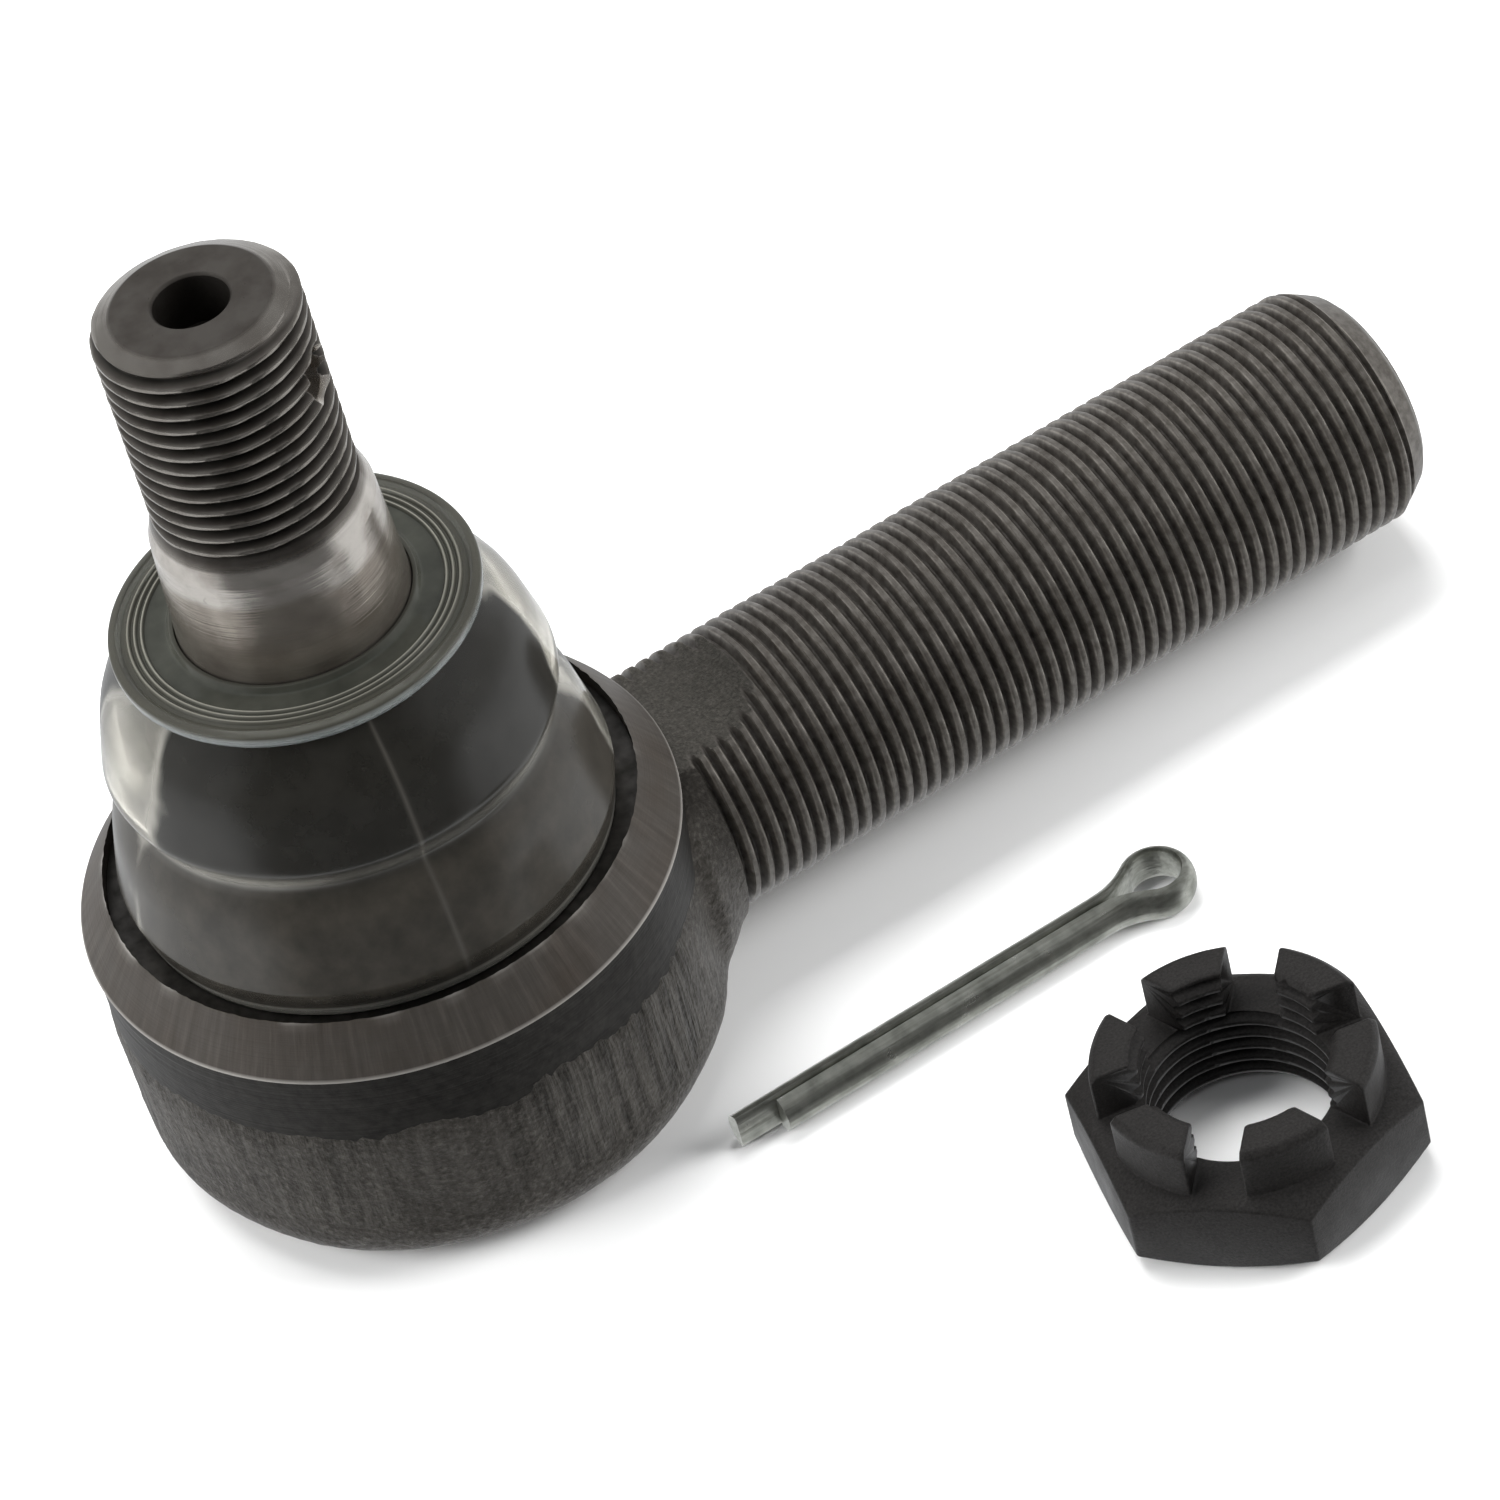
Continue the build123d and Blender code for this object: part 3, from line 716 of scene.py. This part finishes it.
def threaded_shank(steel):
    """Shank with its real thread, end chamfer and the forged flat at its root."""
    start, fine = 22.0, PITCH / 10
    fine_from = 26.6
    coarse_stations = np.arange(start, fine_from, 0.5)
    fine_stations = np.arange(fine_from, SHANK_END - 0.05, fine)
    stations = np.concatenate((coarse_stations, fine_stations, [SHANK_END]))
    angle = np.linspace(0, 2 * pi, 180, endpoint=False)
    along, round_axis = np.meshgrid(stations, angle, indexing="ij")
    depth = thread_depth(along / PITCH - round_axis / (2 * pi), crest_share=0.34, root_share=0.14)
    begins = smooth_step(27.0, 28.2, along)
    radius = SHANK_RADIUS - THREAD_DEPTH * depth * begins
    chamfer_start = SHANK_END - SHANK_CHAMFER_AXIAL
    slope = SHANK_CHAMFER_RADIAL / SHANK_CHAMFER_AXIAL
    chamfer = SHANK_RADIUS - np.maximum(along - chamfer_start, 0) * slope
    end_round = 0.7
    nose = smooth_step(SHANK_END - end_round, SHANK_END, along) * 0.5
    radius = np.minimum(radius, chamfer) - nose
    # The flat faces +Z, and its far end runs out on an arc.
    beyond = np.clip(along - FLAT_STRAIGHT_END, 0, FLAT_RUNOUT_RADIUS - 0.01)
    rise = FLAT_RUNOUT_RADIUS - np.sqrt(FLAT_RUNOUT_RADIUS**2 - beyond**2)
    level = FLAT_HEIGHT - SHANK_HEIGHT + rise
    upward = np.cos(round_axis)
    reach = np.where(upward > 0.2, level / np.maximum(upward, 0.2), 99.0)
    forged = smooth_step(-0.05, 0.12, radius - reach)
    radius = np.minimum(radius, reach)
    height = SHANK_HEIGHT + radius * np.cos(round_axis)
    side = -radius * np.sin(round_axis)
    rings = np.stack((along, side, height), axis=-1)
    sand = (grain(rings, 0.9, 4.4) * 0.05 + grain(rings, 3.0, 8.8) * 0.08) * forged
    nicks = grain(rings, 1.4, 6.1) * 0.035 + grain(rings, 12.0, 2.2) * 0.05
    radius = radius + sand + nicks * (1 - forged) - 0.04
    rings[..., 1] = -radius * np.sin(round_axis)
    rings[..., 2] = SHANK_HEIGHT + radius * np.cos(round_axis)
    root = np.clip(depth * begins, 0, 1) * (along < chamfer_start + 1.0)
    mesh = skin("threaded_shank", rings, attributes={"root": root, "forged": np.maximum(forged, 1 - begins)})
    return new_object("threaded_shank", mesh, "housing", steel)


# ---------------------------------------------------------------- stud


def ball_stud(steel):
    """Ball, neck, ground taper and rolled thread, with its centre hole and the pin's cross hole."""
    flat_start, neck_start = radians(-72.5), radians(49)
    ball = [
        (BALL_RADIUS * cos(a), BALL_HEIGHT + BALL_RADIUS * sin(a), 0)
        for a in np.linspace(flat_start, neck_start, 48)
    ]
    lower = outline(
        [
            (0.0, BALL_HEIGHT + BALL_RADIUS * sin(flat_start), 0),
            *ball,
            (8.0, 30.6, 1.5),
            (8.0, 44.0, 0.5),
            (10.7, 47.5, 0.6),
            (10.65, 49.0, 0),
            (9.75, 66.8, 1.2),
            (STUD_RADIUS, STUD_THREAD_START, 0.4),
        ],
        step=0.8,
    )
    thread_heights = np.arange(STUD_THREAD_START + 0.1, STUD_TOP - 1.35, PITCH / 10)
    thread = np.array([(STUD_RADIUS, z) for z in thread_heights])
    upper = outline(
        [
            (STUD_RADIUS, STUD_TOP - 1.3, 0),
            (STUD_RADIUS - 2.2, STUD_TOP, 0.25),
            (3.5, STUD_TOP, 0.1),
            (3.25, STUD_TOP - 0.25, 0),
            (3.25, STUD_TOP - 5.0, 0),
            (0.0, STUD_TOP - 5.7, 0),
        ],
        step=0.35,
    )
    rings = turned(np.vstack((lower[1:], thread, upper[:-1])), 240)
    angle = np.arctan2(rings[..., 1], rings[..., 0])
    radius = np.hypot(rings[..., 0], rings[..., 1])
    height = rings[..., 2]
    depth = thread_depth(height / PITCH - angle / (2 * pi))
    begins = smooth_step(STUD_THREAD_START - 0.9, STUD_THREAD_START + 0.7, height)
    outer = (height > STUD_THREAD_START - 1.0) & (radius > 5.0) & (height < STUD_TOP - 0.02)
    cut_radius = np.minimum(radius, STUD_RADIUS + 0.8 * (1 - begins) - THREAD_DEPTH * depth * begins)
    new_radius = np.where(outer, cut_radius, radius)
    nicks = (grain(rings, 1.2, 3.3) * 0.035) * outer * (new_radius > STUD_RADIUS - 0.6)
    rings = pushed(rings, new_radius - radius + nicks)
    # Crests sit a little below the brightest tone as a dimmer painted highlight, and the roots darken as
    # painted shade.
    painted_crest_level = 0.12
    rolled = outer & (height < STUD_TOP - 1.2)
    root = np.where(rolled, (painted_crest_level + (1 - painted_crest_level) * depth) * begins, 0.0)
    # The end face and chamfer are made duller and darker, and the centre hole is darkened as painted shade.
    dull_end_and_shaded_hole = smooth_step(STUD_TOP - 0.2, STUD_TOP - 0.02, height) * 0.36
    dull_end_and_shaded_hole = np.maximum(dull_end_and_shaded_hole, 0.13 * (height > STUD_TOP - 1.4))
    dull_end_and_shaded_hole = np.where((radius < 3.4) & (height > STUD_TOP - 6.0), 0.6, dull_end_and_shaded_hole)
    edge = 64.2 + 0.35 * np.sin(2 * angle)
    seat = smooth_step(edge + 0.15, edge - 0.1, height)
    mesh = skin("ball_stud_turned", rings, attributes={"root": np.maximum(root, dull_end_and_shaded_hole), "seat": seat})
    piece = new_object("ball_stud_turned", mesh, None, steel)
    drill = outline(
        [
            (0.0, -12.0, 0),
            (COTTER_HOLE_RADIUS + 3.4, -12.0, 0),
            (COTTER_HOLE_RADIUS, -8.2, 0.4),
            (COTTER_HOLE_RADIUS, 8.2, 0.4),
            (COTTER_HOLE_RADIUS + 3.4, 12.0, 0),
            (0.0, 12.0, 0),
        ],
        step=3.0,
    )
    cutter = skin("cotter_drill", turned(drill, 40)[1:-1])
    turn = Matrix.Rotation(radians(COTTER_HOLE_AZIMUTH), 4, "Z") @ Matrix.Rotation(pi / 2, 4, "Y")
    cutter.transform(Matrix.Translation((0, 0, COTTER_HOLE_HEIGHT * MM)) @ turn)
    cut(piece, cutter)
    piece.data.materials.clear()
    piece.data.materials.append(steel)
    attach(piece, "stud")
    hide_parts("ball_stud")
    return piece


# ---------------------------------------------------------------- boot


def boot_points(inset):
    """Boot's outer form taken in by an inset, from foot to head."""
    return [
        (21.7 - inset, BOOT_FOOT, 0),
        (22.35 - inset, 31.3, 1.0),
        (20.9 - inset, 37.6, 9.0),
        (18.9 - inset, 40.9, 0.9),
        (20.2 - inset, 43.5, 1.6),
        (18.7 - inset, 49.8, 9.0),
        (15.2 - inset, BOOT_TOP, 0),
    ]


def grease_pockets(points):
    """How far, from 0 to 1, the grease has drawn back from the boot at each point, in ragged pockets."""
    angle = np.degrees(np.arctan2(points[..., 1], points[..., 0]))
    offsets = [
        half_width - np.abs((angle - azimuth + 180) % 360 - 180)
        for azimuth, half_width in GREASE_POCKETS
    ]
    reach = np.max(offsets, axis=0)
    ragged = grain(points, 6.5, 2.7) * 15.0 + grain(points, 2.2, 5.9) * 4.0
    lower = smooth_step(43.0, 39.0, points[..., 2])
    return smooth_step(0.0, 9.0, reach + ragged - 14.0 * lower)


def boot_shell(urethane):
    """Boot wall: skirt, groove and upper bulge, with the fine line of its mould."""
    outside = outline(boot_points(0.0), step=0.5)
    inside = outline(boot_points(BOOT_WALL), step=0.5)[::-1]
    rings = turned(np.vstack((outside, inside)), 360)
    angle = np.degrees(np.arctan2(rings[..., 1], rings[..., 0]))
    height = rings[..., 2]
    off_line = np.minimum(np.abs(angle - MOULD_LINE_AZIMUTH), 360 - np.abs(angle - MOULD_LINE_AZIMUTH))
    line = np.exp(-((off_line / 0.6) ** 2))
    is_outside = (np.arange(len(rings)) < len(outside))[:, None]
    soft = grain(rings, 9.0, 4.0) * 0.12
    # The band along the bulge's folded edge is made clear and pale, most of all at the sides, as a painted
    # highlight.
    painted_fold_highlight = np.exp(-(((height - FOLD_HEIGHT) / 0.9) ** 2)) * (0.08 + 0.85 * smooth_step(15.0, 70.0, off_line))
    wetted_less_fold_highlight = 1 - np.maximum(grease_pockets(rings), painted_fold_highlight)
    wetted_less_fold_highlight *= smooth_step(BOOT_FOOT + 0.3, BOOT_FOOT + 1.2, height)
    skirt = smooth_step(41.5, 39.5, height)
    rings = pushed(rings, soft + 0.05 * line * is_outside - 0.03)
    mesh = skin("boot_shell", rings, joined=True, attributes={"wetted_less_fold_highlight": wetted_less_fold_highlight, "skirt": skirt, "line": line})
    piece = new_object("boot_shell", mesh, None, urethane)
    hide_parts("dust_boot")
    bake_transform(piece)
    return piece


def grease_body(paste):
    """Grease packed against the boot's inside, drawn back from it in pockets at the sides and back."""
    outside = outline(boot_points(BOOT_WALL + 0.1)[1:-1] + [(15.4, 52.0, 0)], step=0.5)
    # The hollow widens downwards, to leave the stud its swing.
    inside = np.array([(12.4, 52.0), (13.0, 47.0), (13.6, 40.0), (15.0, 31.5)])
    rings = turned(np.vstack((outside, inside)), 260)
    upper = smooth_step(39.0, 43.0, rings[..., 2])
    is_outside = (np.arange(len(rings)) < len(outside))[:, None]
    rings = pushed(rings, -grease_pockets(rings) * is_outside * (1.2 + 1.6 * upper))
    piece = new_object("grease_body", skin("grease_body", rings, joined=True), None, paste)
    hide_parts("grease_fill")
    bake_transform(piece)
    return piece


def sealing_disc(urethane):
    """Boot's head: dished disc with three fine ridges, a rolled rim, an inner lip and a collar below."""
    top = DISC_TOP - 0.6
    ridges = []
    ridge_radii = (13.2, 13.8, 14.4)
    for radius in ridge_radii:
        ridges += [(radius - 0.24, top, 0.08), (radius, top + 0.38, 0.12), (radius + 0.24, top, 0.08)]
    profile = outline(
        [
            (10.36, DISC_TOP - 0.05, 0.1),
            (10.75, DISC_TOP, 0.15),
            (11.1, top, 0.3),
            *ridges,
            (15.0, top - 0.05, 0.2),
            (15.5, top + 0.35, 0.25),
            (DISC_RADIUS, top + 0.1, 0.3),
            (DISC_RADIUS, 54.95, 0.35),
            (15.5, 54.8, 0.15),
            (15.7, 54.3, 0.2),
            (14.8, 54.3, 0),
            (14.8, 55.5, 0),
            (12.36, 55.5, 0),
            (12.36, 54.3, 0),
            (12.2, 54.3, 0),
            (12.2, 51.2, 0.3),
            (10.65, 51.2, 0.2),
        ],
        closed=True,
        step=0.4,
        arc_step=22.0,
    )
    rings = turned(profile, 300)
    radius = np.hypot(rings[..., 0], rings[..., 1])
    rim = np.maximum(smooth_step(12.6, 14.6, radius) * 0.75, smooth_step(14.9, 15.4, radius))
    rim = np.maximum(rim, smooth_step(11.0, 10.6, radius) * 0.6)
    collar = smooth_step(55.6, 55.2, rings[..., 2]) * smooth_step(13.6, 14.4, radius)
    # The crest mask marks the ridge tops for a painted highlight.
    crest = sum(smooth_step(0.16, 0.02, np.abs(radius - ridge)) for ridge in ridge_radii)
    crest *= 0.5 * smooth_step(top + 0.1, top + 0.3, rings[..., 2])
    mesh = skin("sealing_disc", rings, joined=True, attributes={"rim": rim, "collar": collar, "crest": crest})
    piece = new_object("sealing_disc", mesh, "boot_head", urethane)
    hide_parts("boot_sealing_disc")
    return piece


# ---------------------------------------------------------------- nut and pin


def castle_nut(steel):
    """Castle nut with eased edges and its real internal thread."""
    mesh = nodes["castle_nut"].data.copy()
    work = bmesh.new()
    work.from_mesh(mesh)
    bmesh.ops.remove_doubles(work, verts=work.verts, dist=0.002 * MM)
    bmesh.ops.dissolve_limit(work, angle_limit=radians(1.0), verts=work.verts, edges=work.edges)
    work.to_mesh(mesh)
    work.free()
    piece = new_object("castle_nut_threaded", mesh, None, steel)
    ease = piece.modifiers.new("ease", "BEVEL")
    ease.width = 0.28 * MM
    ease.segments = 2
    ease.limit_method = "ANGLE"
    ease.angle_limit = radians(28)
    applied(piece)
    stations = np.arange(-1.0, high("castle_nut")[2] + 1.0, PITCH / 8)
    angle = np.linspace(0, 2 * pi, 120, endpoint=False)
    height, round_axis = np.meshgrid(stations, angle, indexing="ij")
    radius = NUT_BORE_RADIUS + 0.85 - 0.9 * thread_depth(height / PITCH - round_axis / (2 * pi))
    tap = np.stack(
        (
            NUT_CENTRE[0] + radius * np.cos(round_axis),
            NUT_CENTRE[1] + radius * np.sin(round_axis),
            height,
        ),
        axis=-1,
    )
    cut(piece, skin("tap", tap))
    piece.data.materials.clear()
    piece.data.materials.append(steel)
    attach(piece, "castle_nut")
    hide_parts("castle_nut")
    return piece


def pin_path():
    """Centre line of the pin's inner face, from the long leg's tip round the eye to the short leg's tip."""
    side = PIN_GAP / 2
    reach = ((PIN_FLARE_RADIUS + PIN_EYE_RADIUS) ** 2 - (PIN_FLARE_RADIUS + side) ** 2) ** 0.5
    centre = PIN_LEG + reach
    turn = acos((PIN_FLARE_RADIUS + side) / (PIN_FLARE_RADIUS + PIN_EYE_RADIUS))
    leg = [(x, side) for x in np.arange(0, PIN_LEG, 1.0)]
    flare = [
        (PIN_LEG + PIN_FLARE_RADIUS * sin(a), side + PIN_FLARE_RADIUS * (1 - cos(a)))
        for a in np.linspace(0, turn, 14)
    ]
    start = pi / 2 + turn
    eye = [
        (centre + PIN_EYE_RADIUS * cos(a), PIN_EYE_RADIUS * sin(a))
        for a in np.linspace(start, -start, 40)[1:-1]
    ]
    half = leg + flare
    back = [(x, -y) for x, y in half[::-1] if x >= PIN_SHORT_LEG_START - 0.5]
    return np.array(half + eye + back)


def cotter_pin(steel):
    """Half-round wire bent double, its flat faces inside, with slightly rounded edges."""
    path = pin_path()
    heading = np.gradient(path, axis=0)
    heading /= np.linalg.norm(heading, axis=1, keepdims=True)
    outward = np.stack((-heading[:, 1], heading[:, 0]), axis=-1)
    edge = 0.25
    arc = np.linspace(-pi / 2 + 0.14, pi / 2 - 0.14, 17)
    section = [(0.0, -PIN_WIRE_RADIUS + 2 * edge), (edge * 0.35, -PIN_WIRE_RADIUS + edge * 0.8)]
    section += [(PIN_WIRE_RADIUS * cos(a), PIN_WIRE_RADIUS * sin(a)) for a in arc]
    section += [(edge * 0.35, PIN_WIRE_RADIUS - edge * 0.8), (0.0, PIN_WIRE_RADIUS - 2 * edge)]
    across = np.array(section)
    # Bending has drawn the wire thinner round the eye; its outer face stays where it was.
    thickness = 1 - PIN_EYE_THINNING * smooth_step(PIN_LEG - 1.5, PIN_LEG + 5.0, path[:, 0])[:, None, None]
    depth = across[None, :, :1] * thickness + PIN_WIRE_RADIUS * (1 - thickness)
    rings = np.zeros((len(path), len(across), 3))
    rings[..., :2] = path[:, None] + outward[:, None] * depth
    rings[..., 2] = across[None, :, 1] + PIN_WIRE_RADIUS
    rings += PIN_TIP
    mesh = skin("cotter_pin_wire", rings)
    piece = new_object("cotter_pin_wire", mesh, "cotter_pin", steel)
    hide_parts("cotter_pin")
    return piece


# ---------------------------------------------------------------- build the object

forged = forged_steel()
pressed = pressed_steel()
plastic = acetal()

machined_head(turned_steel(), turned_band_steel())
forged_shell(forged)
threaded_shank(thread_steel())
ball_stud(ground_steel())
boot_shell(clear_polyurethane())
grease_body(grease())
sealing_disc(smoky_polyurethane())
castle_nut(phosphated_steel())
cotter_pin(zinc_steel())

CARRIED_OVER = {
    "lower_bearing_shell": plastic,
    "upper_bearing_shell": plastic,
    "preload_disc_spring": pressed,
    "closure_ring": pressed,
    "boot_base_ring": pressed,
    "disc_insert_ring": pressed,
    "neck_garter_ring": pressed,
}
for node_name, finish in CARRIED_OVER.items():
    nodes[node_name].data.materials.clear()
    nodes[node_name].data.materials.append(finish)


# ---------------------------------------------------------------- camera, floor and light

CAMERA_PLACE = Vector((-113.18, -389.10, 405.51)) * MM
CAMERA_AIM = Vector((31.44, -11.72, 25.0)) * MM
CAMERA_ROLL = -15.72
CAMERA_LENS = 152.3

camera = bpy.data.objects.new("camera", bpy.data.cameras.new("camera"))
bpy.context.scene.collection.objects.link(camera)
camera.location = CAMERA_PLACE
camera.rotation_mode = "QUATERNION"
level = (CAMERA_AIM - CAMERA_PLACE).to_track_quat("-Z", "Y")
camera.rotation_quaternion = level @ Quaternion((0, 0, 1), radians(CAMERA_ROLL))
camera.data.lens = CAMERA_LENS
camera.data.sensor_width = 36.0
camera.data.clip_start = 0.01
bpy.context.scene.camera = camera

floor_mesh = bpy.data.meshes.new("floor")
half_floor = 3.0
corners = [(half_floor * x, half_floor * y, 0.0) for x, y in ((-1, -1), (1, -1), (1, 1), (-1, 1))]
floor_mesh.from_pydata(corners, [], [(0, 1, 2, 3)])
floor = bpy.data.objects.new("floor", floor_mesh)
bpy.context.scene.collection.objects.link(floor)
floor_mesh.materials.append(studio_floor())


def soft_box(name, place_mm, width, height, power):
    """Large soft light aimed at the object's middle."""
    light = bpy.data.lights.new(name, "AREA")
    light.shape = "RECTANGLE"
    light.size = width
    light.size_y = height
    light.energy = power
    lamp = bpy.data.objects.new(name, light)
    lamp.location = Vector(place_mm) * MM
    lamp.rotation_mode = "QUATERNION"
    lamp.rotation_quaternion = (CAMERA_AIM - lamp.location).to_track_quat("-Z", "Y")
    # Only the room shows in polished surfaces, so that no lamp leaves a square glint.
    lamp.visible_glossy = False
    bpy.context.scene.collection.objects.link(lamp)
    return lamp


soft_box("left_box", (-760, 120, 420), 0.5, 0.7, 9)
soft_box("right_box", (820, -420, 420), 0.5, 0.7, 11)
soft_box("top_box", (60, 420, 900), 0.9, 0.5, 12)

# The floor lights the object but polished steel mirrors the room below the horizon instead of it,
# which is bright at the sides and back and dark on the side that faces the camera.
floor.visible_glossy = False
toward_camera = Vector((CAMERA_PLACE.x - CAMERA_AIM.x, CAMERA_PLACE.y - CAMERA_AIM.y, 0)).normalized()

world = bpy.data.worlds.new("studio")
world.use_nodes = True
sky = world.node_tree
heading = add(sky, "TexCoord").outputs["Generated"]
facing = add(sky, "VectorMath", {0: heading}, operation="DOT_PRODUCT")
facing.inputs[1].default_value = toward_camera
front = ramp(sky, facing.outputs["Value"], [(0.48, 1.0), (0.66, 0.06)])
rise = add(sky, "SeparateXYZ", {"Vector": heading}).outputs["Z"]
steepness = add(sky, "MapRange", {"Value": rise}, From_Min=-1.0).outputs["Result"]
above = ramp(sky, steepness, [(0.48, 1.0), (0.6, 0.4)])
room = mixed(sky, 1.0, front, above, "MULTIPLY")
sky.links.new(mixed(sky, 1.0, room, colour("#f4f6f8"), "MULTIPLY"), sky.nodes["Background"].inputs["Color"])
sky.nodes["Background"].inputs["Strength"].default_value = 0.9
bpy.context.scene.world = world
bpy.context.scene.view_settings.view_transform = "Standard"
